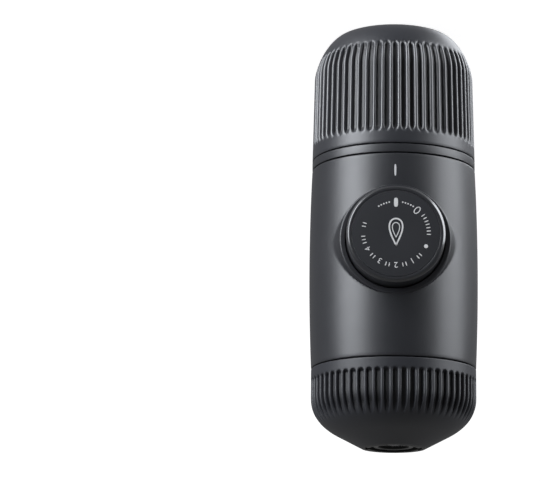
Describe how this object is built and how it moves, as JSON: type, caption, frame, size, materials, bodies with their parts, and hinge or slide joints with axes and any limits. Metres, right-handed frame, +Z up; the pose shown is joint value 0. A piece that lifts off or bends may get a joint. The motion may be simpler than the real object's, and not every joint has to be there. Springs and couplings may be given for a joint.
{
  "type": "handheld manual espresso maker",
  "caption": "Slim hand-pumped espresso maker: fluted water tank, smooth body with a round piston cap, fluted brew head with a filter basket and spout.",
  "frame": {"origin": "centre of the water tank's flat foot, on the surface that the maker stands on", "axes": "+Z up along the axis from the tank to the coffee outlet; -Y the way the piston cap faces; +X to the right seen from the front"},
  "size_m": [0.062, 0.071, 0.155],
  "materials": {
    "fluted_plastic": "satin anthracite, fine moulded grain",
    "shell_plastic": "satin anthracite, fine moulded grain",
    "ring_plastic": "satin anthracite",
    "inner_plastic": "matt black",
    "cap_plastic": "satin black, bright worn bevel",
    "dial_plastic": "satin black with pale print",
    "nozzle_plastic": "matt black",
    "bearing_plastic": "natural white",
    "turned_steel": "turned",
    "sheet_steel": "drawn sheet",
    "screw_steel": "plated",
    "spring_steel": "drawn wire",
    "grey_silicone": "matt",
    "black_rubber": "matt",
    "cream_silicone": "matt",
    "clear_silicone": "milky",
    "red_silicone": "matt"
  },
  "bodies": {
    "tank": {"water_tank": "fluted_plastic"},
    "tank_seal": {"tank_gasket": "grey_silicone"},
    "main": {"trim_ring": "ring_plastic", "body_shell": "shell_plastic", "tank_deck": "inner_plastic", "pump_frame": "inner_plastic", "group_plate": "inner_plastic", "pump_barrel": "turned_steel", "barrel_o_rings": "black_rubber", "barrel_screws": "screw_steel", "lock_sleeve": "sheet_steel", "inlet_hose": "clear_silicone", "delivery_hose": "clear_silicone", "inlet_valve": "cream_silicone", "delivery_valve": "cream_silicone", "air_valve": "cream_silicone", "shower_plate": "sheet_steel", "shower_screw": "screw_steel", "group_gasket": "grey_silicone", "wear_ring": "bearing_plastic", "return_spring": "spring_steel"},
    "plunger": {"piston": "turned_steel", "piston_seal": "black_rubber"},
    "cap": {"piston_cap": "cap_plastic", "dial": "dial_plastic", "cap_washer": "screw_steel", "cap_screw": "screw_steel"},
    "basket": {"filter_basket": "sheet_steel"},
    "head": {"head_shell": "fluted_plastic", "basket_holder": "inner_plastic", "outlet_nozzle": "nozzle_plastic", "spring_retainer": "sheet_steel", "valve_spring": "spring_steel"},
    "valve": {"pressure_valve": "turned_steel", "valve_seal": "red_silicone"}
  },
  "joints": [
    {"name": "body_rise", "type": "slide", "parent": "tank", "child": "tank_seal", "axis": [0, 0, 1], "range_m": [0, 0.009]},
    {"name": "body_unscrew", "type": "hinge", "parent": "tank_seal", "child": "main", "pos_m": [0, 0, 0.045], "axis": [0, 0, 1], "range_deg": [0, 270]},
    {"name": "piston_stroke", "type": "slide", "parent": "main", "child": "plunger", "axis": [0, -1, 0], "range_m": [0, 0.014], "deforming": ["return_spring"]},
    {"name": "cap_turn", "type": "hinge", "parent": "plunger", "child": "cap", "pos_m": [0, -0.036, 0.0837], "axis": [0, -1, 0], "range_deg": [0, 40]},
    {"name": "head_rise", "type": "slide", "parent": "main", "child": "basket", "axis": [0, 0, 1], "range_m": [0, 0.009]},
    {"name": "head_unscrew", "type": "hinge", "parent": "basket", "child": "head", "pos_m": [0, 0, 0.13], "axis": [0, 0, 1], "range_deg": [0, 270]},
    {"name": "pressure_valve_lift", "type": "slide", "parent": "head", "child": "valve", "axis": [0, 0, 1], "range_m": [0, 0.0012], "stiffness_N_per_m": 800, "springref_m": -0.006, "deforming": ["valve_spring"]}
  ],
  "couplings": [
    {"joint": "body_rise", "follows": "body_unscrew", "m_per_rad": 0.0019099},
    {"joint": "head_rise", "follows": "head_unscrew", "m_per_rad": 0.0019099}
  ]
}
